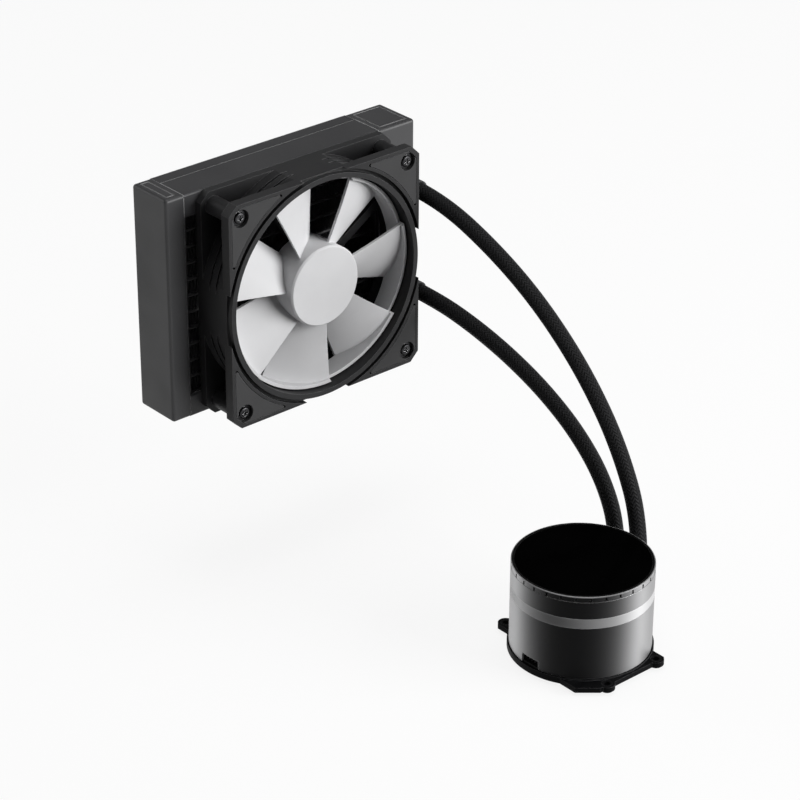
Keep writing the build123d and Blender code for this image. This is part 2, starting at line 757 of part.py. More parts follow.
# Cap ring: turns on the shelf, with a notched rim and a recess for the lens.
skirt_radius = shelf_radius - skirt_gap
snap_top = shelf_bottom - cap_gap
lens_seat = pump_height - lens_drop - lens_thickness
with BuildPart(pump_plane) as cap_ring:
    with BuildSketch(pump_section):
        Polygon([(skirt_radius - skirt_wall, snap_top - snap_height), (skirt_radius + snap_reach + skirt_gap,
                 snap_top - snap_height), (skirt_radius + snap_reach + skirt_gap, snap_top),
                 (skirt_radius, snap_top), (skirt_radius, cap_start), (pump_radius, cap_start),
                 (pump_radius, pump_height - rim_bevel), (pump_radius - rim_bevel, pump_height),
                 (lens_radius, pump_height),
                 (lens_radius, lens_seat), (skirt_radius - skirt_wall, lens_seat)])
    revolve(axis=pump_axis)
    with BuildSketch(pump_plane.offset(cap_start)):
        with PolarLocations(pump_radius, notch_count):
            Rectangle(2 * notch_depth, notch_width)
    extrude(amount=notch_height, mode=Mode.SUBTRACT)
save(cap_ring, "cap_ring")

with BuildPart() as cap_lens:
    with BuildSketch(pump_plane.offset(lens_seat)):
        Circle(lens_radius)
    extrude(amount=lens_thickness)
save(cap_lens, "cap_lens")

# Boards: the lamp ring on the band's sleeve and the control board on the housing's posts.
with BuildPart() as led_board:
    with BuildSketch(pump_plane.offset(light_band_top + band_lap)):
        Circle(shell_bore)
        Circle(led_board_bore, mode=Mode.SUBTRACT)
    extrude(amount=led_board_thickness)
save(led_board, "led_board")

with BuildPart() as control_board:
    with BuildSketch(pump_plane.offset(control_board_start)):
        Circle(control_board_radius)
    extrude(amount=control_board_thickness)
save(control_board, "control_board")

# The cable socket's front just clears the shell's round face, and its back sits in the housing.
socket_front = -sqrt(pump_radius ** 2 - (window_width / 2 + abs(window_offset)) ** 2)
socket_middle = socket_front + socket_depth / 2

# Housing: moulded block with the lower flow chamber, the impeller chamber, both hose ways and
# the posts under the control board.
with BuildPart(pump_plane) as pump_housing:
    with BuildSketch(pump_plane.offset(plate_top)):
        Circle(spigot_radius)
    extrude(amount=bracket_height - plate_top)
    with BuildSketch(pump_plane.offset(bracket_height)):
        Circle(housing_radius)
    extrude(amount=housing_top - bracket_height)
    with BuildSketch(pump_plane.offset(housing_top)):
        with PolarLocations(board_post_circle, 4, start_angle=45):
            Circle(board_post_radius)
    extrude(amount=control_board_start - housing_top)
    with BuildSketch(pump_plane.offset(plate_top)):
        Circle(lower_chamber_radius)
    extrude(amount=lower_chamber_height, mode=Mode.SUBTRACT)
    with BuildSketch(pump_plane.offset(plate_top)):
        Circle(gasket_radius)
        Circle(gasket_radius - gasket_width, mode=Mode.SUBTRACT)
    extrude(amount=gasket_height, mode=Mode.SUBTRACT)
    with BuildSketch(pump_plane.offset(chamber_floor)):
        Circle(chamber_radius)
        Circle(pin_boss_radius, mode=Mode.SUBTRACT)
    extrude(amount=housing_top - chamber_floor, mode=Mode.SUBTRACT)
    with BuildSketch(pump_plane.offset(chamber_floor + pin_boss_height)):
        Circle(pin_boss_radius)
    extrude(amount=housing_top, mode=Mode.SUBTRACT)
    with BuildSketch(pump_plane.offset(plate_top)):
        with PolarLocations(feed_hole_circle, 4):
            Circle(feed_hole_radius)
    extrude(amount=chamber_floor, mode=Mode.SUBTRACT)
    with BuildSketch(pump_plane.offset(chamber_floor - pin_boss_height)):
        Circle(pin_radius)
    extrude(amount=housing_top, mode=Mode.SUBTRACT)
    for offset_y in elbow_offsets.values():
        seat_start = sqrt(housing_radius ** 2 - offset_y ** 2) - elbow_seat
        with Locations(Location((seat_start + elbow_seat, offset_y, elbow_height), (0, 90, 0))):
            Cylinder(elbow_radius, 2 * elbow_seat, mode=Mode.SUBTRACT)
        with Locations(Location(((seat_start + elbow_way_start) / 2, offset_y, elbow_height), (0, 90, 0))):
            Cylinder(hose_bore_radius, seat_start - elbow_way_start, mode=Mode.SUBTRACT)
    with BuildSketch(pump_plane.offset(plate_top)):
        with Locations((return_hole_x, rear_elbow_offset - return_hole_inset)):
            Circle(return_hole_radius)
    extrude(amount=elbow_height - plate_top, mode=Mode.SUBTRACT)
    with BuildSketch(pump_plane.offset(plate_top)):
        with PolarLocations(plate_screw_circle, plate_screw_count, start_angle=360 / plate_screw_count / 2):
            Circle(plate_screw_radius)
    extrude(amount=plate_screw_length - plate_thickness, mode=Mode.SUBTRACT)
    with Locations((socket_middle, window_offset, bracket_height + window_height / 2)):
        Box(socket_depth, window_width, window_height, mode=Mode.SUBTRACT)
save(pump_housing, "pump_housing")

# Copper cold plate with a block of skived fins, its seal and its countersunk screws.
with BuildPart(pump_plane) as cold_plate:
    with BuildSketch(pump_plane.offset(-plate_proud)):
        Circle(plate_radius)
    extrude(amount=plate_thickness)
    with BuildSketch(pump_plane.offset(plate_top)):
        with GridLocations(plate_fin_pitch, 0, plate_fins, 1):
            Rectangle(plate_fin_thickness, plate_fin_length)
    extrude(amount=plate_fin_height)
    with PolarLocations(plate_screw_circle, plate_screw_count, start_angle=360 / plate_screw_count / 2):
        with Locations(Location((0, 0, -plate_proud), (180, 0, 0))):
            CounterSinkHole(plate_screw_radius, plate_screw_head, depth=plate_thickness,
                            counter_sink_angle=90)
save(cold_plate, "cold_plate")

with BuildPart() as plate_gasket:
    with BuildSketch(pump_plane.offset(plate_top)):
        Circle(gasket_radius)
        Circle(gasket_radius - gasket_width, mode=Mode.SUBTRACT)
    extrude(amount=gasket_height)
save(plate_gasket, "plate_gasket")

with BuildPart() as plate_screw:
    head_depth = plate_screw_head - plate_screw_radius
    with BuildSketch(Plane.XZ):
        Polygon([(0, 0), (plate_screw_head, 0), (plate_screw_radius, head_depth),
                 (plate_screw_radius, plate_screw_length), (0, plate_screw_length)])
    revolve(axis=Axis.Z)
with BuildPart(pump_plane.offset(-plate_proud)) as plate_screws:
    with PolarLocations(plate_screw_circle, plate_screw_count, start_angle=360 / plate_screw_count / 2):
        add(plate_screw.part)
save(plate_screws, "plate_screws")

# Rotor can: thin cup over the wet rotor, with an upstand that carries the stator.
can_bore = can_radius - can_wall
with BuildPart() as rotor_can:
    with BuildSketch(pump_section):
        Polygon([(can_bore, housing_top), (can_flange_radius, housing_top),
                 (can_flange_radius, pump_stator_start),
                 (can_flange_radius - pump_stator_ring, pump_stator_start),
                 (can_flange_radius - pump_stator_ring, housing_top + can_flange),
                 (can_radius, housing_top + can_flange), (can_radius, can_top), (0, can_top),
                 (0, can_top - can_wall), (can_bore, can_top - can_wall)])
    revolve(axis=pump_axis)
save(rotor_can, "rotor_can")

with BuildPart() as impeller_pin:
    with BuildSketch(pump_plane.offset(chamber_floor - pin_boss_height)):
        Circle(pin_radius)
    extrude(amount=impeller_top - chamber_floor + pin_boss_height)
save(impeller_pin, "impeller_pin")

# Impeller: curved blades under a disc, with a bush on the pin and a sleeve round the magnet.
impeller_bore = pin_radius + pin_clearance
bush_start = chamber_floor + pin_boss_height + running_gap
blade_bottom = bush_start + impeller_blade_rise
disc_bottom = impeller_disc_top - impeller_disc
sleeve_bore = impeller_sleeve_radius - impeller_sleeve_wall
with BuildPart(pump_plane) as impeller:
    with BuildSketch(pump_section):
        Polygon([(impeller_bore, bush_start), (impeller_bush_radius, bush_start),
                 (impeller_bush_radius, disc_bottom), (impeller_radius, disc_bottom),
                 (impeller_radius, impeller_disc_top), (impeller_sleeve_radius, impeller_disc_top),
                 (impeller_sleeve_radius, impeller_top), (sleeve_bore, impeller_top),
                 (sleeve_bore, impeller_disc_top), (impeller_bush_radius, impeller_disc_top),
                 (impeller_bush_radius, impeller_top), (impeller_bore, impeller_top)])
    revolve(axis=pump_axis)
    with BuildSketch(pump_plane.offset(blade_bottom)):
        with PolarLocations(0, impeller_blades):
            with BuildLine():
                ThreePointArc((impeller_bush_radius - impeller_blade_wall / 3, 0),
                              (impeller_radius * 0.6, impeller_blade_sweep / 3),
                              (impeller_radius - impeller_blade_wall, impeller_blade_sweep))
            trace(line_width=impeller_blade_wall)
    extrude(amount=disc_bottom - blade_bottom)
save(impeller, "impeller")

with BuildPart() as impeller_magnet:
    with BuildSketch(pump_plane.offset(impeller_disc_top)):
        Circle(sleeve_bore)
        Circle(impeller_bush_radius, mode=Mode.SUBTRACT)
    extrude(amount=impeller_top - impeller_disc_top)
save(impeller_magnet, "impeller_magnet")

# Pump stator: ring with six poles that end just outside the can, and their windings.
pump_pole_start = can_radius + running_gap
pump_pole_end = can_flange_radius - pump_stator_ring / 2
with BuildPart() as pump_stator:
    with BuildSketch(pump_plane.offset(pump_stator_start)):
        Circle(can_flange_radius)
        Circle(can_flange_radius - pump_stator_ring, mode=Mode.SUBTRACT)
        with PolarLocations(0, pump_stator_poles):
            with Locations(((pump_pole_start + pump_pole_end) / 2, 0)):
                Rectangle(pump_pole_end - pump_pole_start, pump_pole_width)
    extrude(amount=pump_stator_length)
save(pump_stator, "pump_stator")

pump_coil_start = can_radius + pump_coil_start_gap
pump_coil_length = can_flange_radius - pump_stator_ring - pump_coil_end_gap - pump_coil_start
with BuildPart(pump_plane) as pump_coils:
    with PolarLocations(0, pump_stator_poles):
        with Locations((pump_coil_start + pump_coil_length / 2, 0, pump_stator_start + pump_stator_length / 2)):
            Box(pump_coil_length, pump_pole_width + 2 * coil_wrap, pump_stator_length + 2 * coil_wrap)
            Box(pump_coil_length, pump_pole_width, pump_stator_length, mode=Mode.SUBTRACT)
save(pump_coils, "pump_coils")


# Elbows: bent tubes seated in the housing, each with a swivel nut under the hose.
for name, offset_y in elbow_offsets.items():
    seat_start = sqrt(housing_radius ** 2 - offset_y ** 2) - elbow_seat
    elbow_points = [pump_plane.from_local_coords(point) for point in (
        (seat_start, offset_y, elbow_height), (elbow_reach, offset_y, elbow_height),
        (elbow_reach, offset_y, elbow_top))]
    with BuildPart() as elbow:
        with BuildLine() as way:
            FilletPolyline(elbow_points, radius=elbow_bend)
        with BuildSketch(Plane(origin=elbow_points[0], z_dir=(1, 0, 0))):
            Circle(elbow_radius)
        sweep(path=way.line)
        with BuildSketch(pump_plane.offset(elbow_top - elbow_nut_height)):
            with Locations((elbow_reach, offset_y)):
                Circle(elbow_nut_radius)
        extrude(amount=elbow_nut_height)
        with BuildSketch(Plane(origin=elbow_points[0], z_dir=(1, 0, 0))):
            Circle(hose_bore_radius)
        sweep(path=way.line, mode=Mode.SUBTRACT)
    save(elbow, f"{name}_elbow")

# Bracket: ring under the shell with two wings, four ears and a lug at the front left.
ear_places = [(side_x * ear_x, side_y * ear_y) for side_x in (-1, 1) for side_y in (-1, 1)]
lug_front = lug_corner + lug_bevel_across
with BuildPart(pump_plane) as bracket:
    with BuildSketch(pump_plane):
        Rectangle(2 * (ear_x + ear_radius), 2 * wing_half_width)
        with Locations(*ear_places):
            Circle(ear_radius)
        with BuildLine():
            Polyline([(-lug_reach, 0), (-lug_reach, -lug_corner), (lug_bevel_along - lug_reach, -lug_front),
                      (0, -lug_front), (0, 0)], close=True)
        make_face()
    extrude(amount=wing_height)
    with BuildSketch(pump_plane):
        Circle(bracket_ring_radius)
    extrude(amount=bracket_height)
    with BuildSketch(pump_plane):
        Circle(bracket_bore)
    extrude(amount=bracket_height, mode=Mode.SUBTRACT)
    with BuildSketch(pump_plane):
        with Locations(*ear_places):
            Circle(ear_bush_radius)
    extrude(amount=bracket_height, mode=Mode.SUBTRACT)
save(bracket, "bracket")

with BuildPart(pump_plane) as ear_bushes:
    with BuildSketch(pump_plane.offset(-ear_flange)):
        with Locations(*ear_places):
            Circle(ear_flange_radius)
    extrude(amount=ear_flange)
    with BuildSketch(pump_plane):
        with Locations(*ear_places):
            Circle(ear_bush_radius)
    extrude(amount=wing_height)
    with BuildSketch(pump_plane.offset(-ear_flange)):
        with Locations(*ear_places):
            Circle(ear_hole_radius)
    extrude(amount=wing_height + ear_flange, mode=Mode.SUBTRACT)
save(ear_bushes, "ear_bushes")

# Cable socket: shroud with a row of pins behind the window.
socket_height = bracket_height + window_height / 2
with BuildPart(pump_plane) as cable_socket:
    with Locations((socket_middle, window_offset, socket_height)):
        Box(socket_depth, window_width, window_height)
    with Locations((socket_middle - socket_wall, window_offset, socket_height)):
        Box(socket_depth, window_width - 2 * socket_wall, window_height - 2 * socket_wall,
            mode=Mode.SUBTRACT)
    with Locations((socket_middle, window_offset, socket_height)):
        with GridLocations(0, socket_pin_pitch, 1, socket_pins):
            Box(socket_depth, socket_pin, socket_pin)
    with Locations((socket_front, window_offset, socket_height)):
        Box(2 * socket_pin_drop, window_width - 2 * socket_wall, window_height - 2 * socket_wall,
            mode=Mode.SUBTRACT)
save(cable_socket, "cable_socket")


# Hoses: round braided tubes from the radiator ports to the pump elbows.
def corner_radii(route):
    """Radius at each inner point: 0.45 of the shorter run over the tangent of half the turn."""
    points = [Vector(*point) for point in route]
    radii = []
    for before, here, after in zip(points, points[1:], points[2:]):
        turn = (here - before).get_angle(after - here)
        shorter = min((here - before).length, (after - here).length)
        radii.append(0.45 * shorter / tan(radians(turn / 2)))
    return radii


for name, route in (("upper_hose", upper_route), ("lower_hose", lower_route)):
    radii = corner_radii(route)
    with BuildPart() as hose:
        with BuildLine() as way:
            FilletPolyline(route, radius=radii)
        with BuildSketch(Plane(origin=route[0], z_dir=(0, -1, 0))):
            Circle(hose_diameter / 2)
        sweep(path=way.line)
    hose_length = sum(edge.length for edge in way.edges())
    tube_volume = hose_length * pi * hose_diameter ** 2 / 4
    print(name, "radii", [round(radius, 1) for radius in radii], "length", round(hose_length, 1),
          "volume ratio", round(hose.part.volume / tube_volume, 4))
    save(hose, name)

# Crimped collars on both ends of each hose.
for name, route in (("upper_collars", upper_route), ("lower_collars", lower_route)):
    with BuildPart() as hose_collars:
        for end, direction in ((route[0], (0, -1, 0)), (route[-1], (0, 0, 1))):
            with BuildSketch(Plane(origin=end, z_dir=direction)):
                Circle(hose_diameter / 2 + collar_wall)
                Circle(hose_diameter / 2, mode=Mode.SUBTRACT)
            extrude(amount=collar_length)
    save(hose_collars, name)
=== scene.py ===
import bpy
import numpy as np
from mathutils import Matrix, Vector


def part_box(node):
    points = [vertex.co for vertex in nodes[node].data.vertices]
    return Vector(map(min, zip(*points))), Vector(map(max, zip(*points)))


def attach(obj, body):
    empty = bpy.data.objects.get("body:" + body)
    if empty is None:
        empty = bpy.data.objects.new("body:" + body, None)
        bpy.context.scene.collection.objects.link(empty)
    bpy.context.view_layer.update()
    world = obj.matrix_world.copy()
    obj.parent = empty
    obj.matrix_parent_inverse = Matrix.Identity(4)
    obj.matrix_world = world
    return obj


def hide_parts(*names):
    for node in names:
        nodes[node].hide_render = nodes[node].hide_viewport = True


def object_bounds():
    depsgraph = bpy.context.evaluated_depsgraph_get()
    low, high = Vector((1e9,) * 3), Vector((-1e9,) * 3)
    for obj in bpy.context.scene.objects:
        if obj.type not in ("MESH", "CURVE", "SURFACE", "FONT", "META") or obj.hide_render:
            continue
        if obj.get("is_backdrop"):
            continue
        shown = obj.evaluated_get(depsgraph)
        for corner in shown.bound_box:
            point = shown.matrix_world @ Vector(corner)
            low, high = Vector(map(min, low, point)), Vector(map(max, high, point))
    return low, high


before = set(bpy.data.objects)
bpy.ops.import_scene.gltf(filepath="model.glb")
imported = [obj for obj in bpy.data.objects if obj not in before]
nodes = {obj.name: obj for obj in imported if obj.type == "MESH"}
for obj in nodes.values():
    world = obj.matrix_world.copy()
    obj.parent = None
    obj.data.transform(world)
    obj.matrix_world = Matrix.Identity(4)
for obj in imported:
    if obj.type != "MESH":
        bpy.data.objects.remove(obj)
cad_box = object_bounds()
bpy.context.scene.view_settings.view_transform = "Standard"


# Camera: a long lens that looks down on the cooler from its front left, as the photograph does.
# Its place, turn and lens were fitted to the radiator's and the fan's known corners.
camera_place = (-0.8284, -1.0643, 0.6353)
camera_azimuth = np.radians(-40.91)
camera_elevation = np.radians(28.12)
camera_roll = np.radians(-0.22)
backwards = np.array([np.sin(camera_azimuth) * np.cos(camera_elevation),
                      -np.cos(camera_azimuth) * np.cos(camera_elevation),
                      np.sin(camera_elevation)])
level_right = np.cross(-backwards, [0.0, 0.0, 1.0])
level_right /= np.linalg.norm(level_right)
level_down = np.cross(-backwards, level_right)
picture_right = level_right * np.cos(camera_roll) + level_down * np.sin(camera_roll)
picture_down = -level_right * np.sin(camera_roll) + level_down * np.cos(camera_roll)
lens = bpy.data.cameras.new("photo_camera")
lens.sensor_width = 36.0
lens.lens = 132.29
lens.clip_start = 0.05
lens.clip_end = 60.0
camera = bpy.data.objects.new("photo_camera", lens)
bpy.context.scene.collection.objects.link(camera)
turn = Matrix(np.column_stack([picture_right, -picture_down, backwards]).tolist()).to_4x4()
camera.matrix_world = Matrix.Translation(camera_place) @ turn
bpy.context.scene.camera = camera


# Studio floor: a plain sheet just under the pump's lowest point. It is white where the camera or a
# mirror sees it, sends little light back up at the cooler, and keeps the cooler's shadow.
def mesh_piece(name, points, faces):
    """A mesh object at the origin from an array of points and lists of corner numbers."""
    mesh = bpy.data.meshes.new(name)
    mesh.from_pydata(np.asarray(points, float).tolist(), [], [list(face) for face in faces])
    piece = bpy.data.objects.new(name, mesh)
    bpy.context.scene.collection.objects.link(piece)
    return piece


def empty_material(name):
    """A node material with nothing but its output."""
    material = bpy.data.materials.new(name)
    material.use_nodes = True
    material.node_tree.nodes.clear()
    output = material.node_tree.nodes.new("ShaderNodeOutputMaterial")
    return material, material.node_tree.nodes, material.node_tree.links, output


def background_rays(parts, wires):
    """One where the studio is seen directly, in a mirror or through glass, and nought where it
    only lights a matt surface."""
    ray = parts.new("ShaderNodeLightPath")
    direct = parts.new("ShaderNodeMath")
    direct.operation = "MAXIMUM"
    seen = parts.new("ShaderNodeMath")
    seen.operation = "MAXIMUM"
    wires.new(ray.outputs["Is Camera Ray"], direct.inputs[0])
    wires.new(ray.outputs["Is Glossy Ray"], direct.inputs[1])
    wires.new(direct.outputs[0], seen.inputs[0])
    wires.new(ray.outputs["Is Transmission Ray"], seen.inputs[1])
    return seen.outputs[0]


floor_reach = 9.0
floor_gap = 0.0005
floor_height = float(cad_box[0][2]) - floor_gap
floor_corners = [(-floor_reach, -floor_reach, floor_height), (floor_reach, -floor_reach, floor_height),
                 (floor_reach, floor_reach, floor_height), (-floor_reach, floor_reach, floor_height)]
floor = mesh_piece("studio_floor", floor_corners, [(0, 1, 2, 3)])
floor_paint, parts, wires, output = empty_material("floor_paint")
seen = background_rays(parts, wires)
tone_in_light = (0.09, 0.09, 0.09, 1)
tone_seen = (0.92, 0.92, 0.92, 1)
share_of_white = 0.86
tone = parts.new("ShaderNodeMix")
tone.data_type = "RGBA"
tone.inputs["A"].default_value = tone_in_light
tone.inputs["B"].default_value = tone_seen
matt = parts.new("ShaderNodeBsdfDiffuse")
white = parts.new("ShaderNodeEmission")
white.inputs["Color"].default_value = (1, 1, 1, 1)
white.inputs["Strength"].default_value = 1.0
share = parts.new("ShaderNodeMath")
share.operation = "MULTIPLY"
share.inputs[1].default_value = share_of_white
blend = parts.new("ShaderNodeMixShader")
wires.new(seen, tone.inputs["Factor"])
wires.new(tone.outputs["Result"], matt.inputs["Color"])
wires.new(seen, share.inputs[0])
wires.new(share.outputs[0], blend.inputs[0])
wires.new(matt.outputs[0], blend.inputs[1])
wires.new(white.outputs[0], blend.inputs[2])
wires.new(blend.outputs[0], output.inputs["Surface"])
floor.data.materials.append(floor_paint)
floor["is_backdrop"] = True


# Studio sky: white at the horizon and dark overhead where it is seen, so that the upright walls
# mirror a pale room and the lens a dark ceiling. It hardly lights matt surfaces.
white_up_to, dark_from = 0.14, 0.3
ceiling_tone = (0.02, 0.02, 0.02, 1)
sky_tone_in_light = (0.03, 0.03, 0.03, 1)
world = bpy.data.worlds.new("studio_world")
world.use_nodes = True
bpy.context.scene.world = world
parts, wires = world.node_tree.nodes, world.node_tree.links
parts.clear()
place = parts.new("ShaderNodeTexCoord")
split = parts.new("ShaderNodeSeparateXYZ")
fade = parts.new("ShaderNodeValToRGB")
fade.color_ramp.elements[0].position = white_up_to
fade.color_ramp.elements[0].color = (1, 1, 1, 1)
fade.color_ramp.elements[1].position = dark_from
fade.color_ramp.elements[1].color = ceiling_tone
fill = parts.new("ShaderNodeMix")
fill.data_type = "RGBA"
fill.inputs["A"].default_value = sky_tone_in_light
sky = parts.new("ShaderNodeBackground")
sky.inputs["Strength"].default_value = 1.0
output = parts.new("ShaderNodeOutputWorld")
wires.new(place.outputs["Generated"], split.inputs[0])
wires.new(split.outputs["Z"], fade.inputs[0])
wires.new(background_rays(parts, wires), fill.inputs["Factor"])
wires.new(fade.outputs["Color"], fill.inputs["B"])
wires.new(fill.outputs["Result"], sky.inputs["Color"])
wires.new(sky.outputs[0], output.inputs["Surface"])


# Studio lamps: a large soft box at the front right draws the broad band on the pump's shell, and
# two weaker ones light the top and the back.
lamp_aim = (0.0, -0.12, -0.04)


def softbox(name, place, width, height, watts):
    """A large rectangular lamp at one point that faces the cooler."""
    data = bpy.data.lights.new(name, "AREA")
    data.shape = "RECTANGLE"
    data.size, data.size_y = width, height
    data.energy = watts
    lamp = bpy.data.objects.new(name, data)
    bpy.context.scene.collection.objects.link(lamp)
    away = Vector(place) - Vector(lamp_aim)
    lamp.matrix_world = Matrix.Translation(place) @ away.to_track_quat("Z", "Y").to_matrix().to_4x4()
    lamp.visible_camera = False


softbox("key_softbox", place=(1.2, -1.9, 0.62), width=1.7, height=1.4, watts=66)
softbox("overhead_softbox", place=(0.1, 0.0, 2.3), width=1.6, height=1.6, watts=28)
softbox("back_softbox", place=(-0.9, 2.1, 0.8), width=1.4, height=1.2, watts=14)


# Radiator tanks, channels and ports: folded and brazed aluminium in satin black paint, with a fine
# grain in the paint, and edges lightened as a painted highlight.
def numbers_group(name, inputs, outputs):
    """An empty node group with number inputs at their usual values, and the named outputs."""
    group = bpy.data.node_groups.new(name, "ShaderNodeTree")
    for label, value in inputs:
        socket = group.interface.new_socket(name=label, in_out="INPUT", socket_type="NodeSocketFloat")
        socket.default_value = value
    for label, kind in outputs:
        group.interface.new_socket(name=label, in_out="OUTPUT", socket_type=kind)
    return group, group.nodes.new("NodeGroupInput"), group.nodes.new("NodeGroupOutput")


surface, given, result = numbers_group(
    "moulded_surface",
    [("Edge radius", 0.0003), ("Grain size", 0.0004), ("Grain depth", 0.00001), ("Patch size", 0.02)],
    [("Normal", "NodeSocketVector"), ("Patches", "NodeSocketFloat"), ("Edges", "NodeSocketFloat")])
parts, wires = surface.nodes, surface.links
place = parts.new("ShaderNodeTexCoord")
rounded = parts.new("ShaderNodeBevel")
rounded.samples = 6
wires.new(given.outputs["Edge radius"], rounded.inputs["Radius"])
grain = parts.new("ShaderNodeTexNoise")
grain.inputs["Detail"].default_value = 2.0
patches = parts.new("ShaderNodeTexNoise")
patches.inputs["Detail"].default_value = 3.0
for size, noise in (("Grain size", grain), ("Patch size", patches)):
    inverse = parts.new("ShaderNodeMath")
    inverse.operation = "DIVIDE"
    inverse.inputs[0].default_value = 1.0
    wires.new(given.outputs[size], inverse.inputs[1])
    wires.new(inverse.outputs[0], noise.inputs["Scale"])
    wires.new(place.outputs["Object"], noise.inputs["Vector"])
relief = parts.new("ShaderNodeBump")
wires.new(grain.outputs["Fac"], relief.inputs["Height"])
wires.new(given.outputs["Grain depth"], relief.inputs["Distance"])
wires.new(rounded.outputs[0], relief.inputs["Normal"])
wires.new(relief.outputs[0], result.inputs["Normal"])
spread = parts.new("ShaderNodeMapRange")
spread.inputs["From Min"].default_value = 0.35
spread.inputs["From Max"].default_value = 0.65
wires.new(patches.outputs["Fac"], spread.inputs["Value"])
wires.new(spread.outputs[0], result.inputs["Patches"])
# Edges: one near an edge, where the rounded normal leans away from the true one. The materials lighten
# their colour there, a painted highlight.
shape = parts.new("ShaderNodeNewGeometry")
likeness = parts.new("ShaderNodeVectorMath")
likeness.operation = "DOT_PRODUCT"
wires.new(rounded.outputs[0], likeness.inputs[0])
wires.new(shape.outputs["Normal"], likeness.inputs[1])
edge_mask = parts.new("ShaderNodeMapRange")
edge_mask.inputs["From Min"].default_value = 0.985
edge_mask.inputs["From Max"].default_value = 0.85
wires.new(likeness.outputs["Value"], edge_mask.inputs["Value"])
wires.new(edge_mask.outputs[0], result.inputs["Edges"])


def finish(name, colour, patch_colour, edge_highlight_colour, roughness, metallic=0.0, ior=1.5,
           edge_radius=0.0003, grain_size=0.0004, grain_depth=0.00001, patch_size=0.02):
    """A material whose colour and gloss drift between patches, with soft edges and a fine grain, and
    with its colour lightened along the edges as a painted highlight. The first roughness is the plain
    surface's, and the second a patch's."""
    material, parts, wires, output = empty_material(name)
    shader = parts.new("ShaderNodeBsdfPrincipled")
    shader.inputs["Metallic"].default_value = metallic
    shader.inputs["IOR"].default_value = ior
    effect = parts.new("ShaderNodeGroup")
    effect.node_tree = surface
    for socket, value in zip(effect.inputs, (edge_radius, grain_size, grain_depth, patch_size)):
        socket.default_value = value
    drift = parts.new("ShaderNodeMix")
    drift.data_type = "RGBA"
    drift.inputs["A"].default_value = (*colour, 1)
    drift.inputs["B"].default_value = (*patch_colour, 1)
    edge_highlight_mix = parts.new("ShaderNodeMix")
    edge_highlight_mix.data_type = "RGBA"
    edge_highlight_mix.inputs["B"].default_value = (*edge_highlight_colour, 1)
    gloss = parts.new("ShaderNodeMapRange")
    gloss.inputs["To Min"].default_value, gloss.inputs["To Max"].default_value = roughness
    wires.new(effect.outputs["Patches"], drift.inputs["Factor"])
    wires.new(drift.outputs["Result"], edge_highlight_mix.inputs["A"])
    wires.new(effect.outputs["Edges"], edge_highlight_mix.inputs["Factor"])
    wires.new(edge_highlight_mix.outputs["Result"], shader.inputs["Base Color"])
    wires.new(effect.outputs["Patches"], gloss.inputs["Value"])
    wires.new(gloss.outputs[0], shader.inputs["Roughness"])
    wires.new(effect.outputs["Normal"], shader.inputs["Normal"])
    wires.new(shader.outputs[0], output.inputs["Surface"])
    return material


def dress(material, *names):
    """Gives CAD pieces a material in place of their plain one."""
    for name in names:
        nodes[name].data.materials.clear()
        nodes[name].data.materials.append(material)


radiator_paint = finish(
    "radiator_paint", colour=(0.034, 0.034, 0.036), patch_colour=(0.040, 0.040, 0.042),
    edge_highlight_colour=(0.36, 0.36, 0.365), roughness=(0.46, 0.56), edge_radius=0.0005, grain_size=0.0011,
    grain_depth=0.000012, patch_size=0.03)
# The channels' edges take a near white colour, a painted highlight that draws bright lines along the
# radiator's top and front.
channel_paint = finish(
    "channel_paint", colour=(0.029, 0.029, 0.031), patch_colour=(0.035, 0.035, 0.037),
    edge_highlight_colour=(0.8, 0.8, 0.805), roughness=(0.46, 0.56), edge_radius=0.0006, grain_size=0.0011,
    grain_depth=0.000012, patch_size=0.03)
dress(radiator_paint, "left_tank", "right_tank", "upper_port", "lower_port")
dress(channel_paint, "upper_channel", "lower_channel")


# Radiator core: flat tubes and header plates brazed as one, under a thin coat of the same paint,
# with a fine folded strip between each pair of tubes in place of the coarse one.
core_paint = finish(
    "core_paint", colour=(0.020, 0.020, 0.021), patch_colour=(0.028, 0.028, 0.029),
    edge_highlight_colour=(0.05, 0.05, 0.052), roughness=(0.42, 0.6), edge_radius=0.0002, grain_size=0.0006,
    grain_depth=0.00001, patch_size=0.008)
dress(core_paint, "core_tubes", "tank_divider")


def fin_strip(name, lowest, highest, folds, sheet, crest):
    """A folded strip. Its middle line rises and falls by a cosine that is clipped flat at the crests,
    z = limit(cos(2 pi folds t) (1 + crest)) times half the height, and both sides of the sheet lie half
    the sheet away from it along its normal. The strip is that band drawn from front to back."""
    steps_in_a_fold = 16
    steps = steps_in_a_fold * folds
    t = np.linspace(0, 1, steps + 1)
    wave = np.clip(np.cos(2 * np.pi * folds * t) * (1 + crest), -1, 1)
    middle = (lowest[2] + highest[2]) / 2
    rise = (highest[2] - lowest[2] - sheet) / 2
    line = np.column_stack([lowest[0] + t * (highest[0] - lowest[0]), middle + wave * rise])
    along = np.gradient(line, axis=0)
    along /= np.linalg.norm(along, axis=1)[:, None]
    normal = np.column_stack([-along[:, 1], along[:, 0]])
    sides = [line + normal * sheet / 2, line - normal * sheet / 2]
    rows = []
    for side in sides:
        for depth in (lowest[1], highest[1]):
            rows.append(np.column_stack([side[:, 0], np.full(steps + 1, depth), side[:, 1]]))
    points = np.vstack(rows)
    count = steps + 1
    top_front, top_back, low_front, low_back = (np.arange(count) + count * row for row in range(4))
    faces = []
    for first, second in ((top_front, top_back), (low_back, low_front), (top_back, low_back),
                          (low_front, top_front)):
        faces.append(np.column_stack([first[:-1], first[1:], second[1:], second[:-1]]))
    ends = [[top_front[0], top_back[0], low_back[0], low_front[0]],
            [top_front[-1], low_front[-1], low_back[-1], top_back[-1]]]
    return mesh_piece(name, points, np.vstack(faces).tolist() + ends)


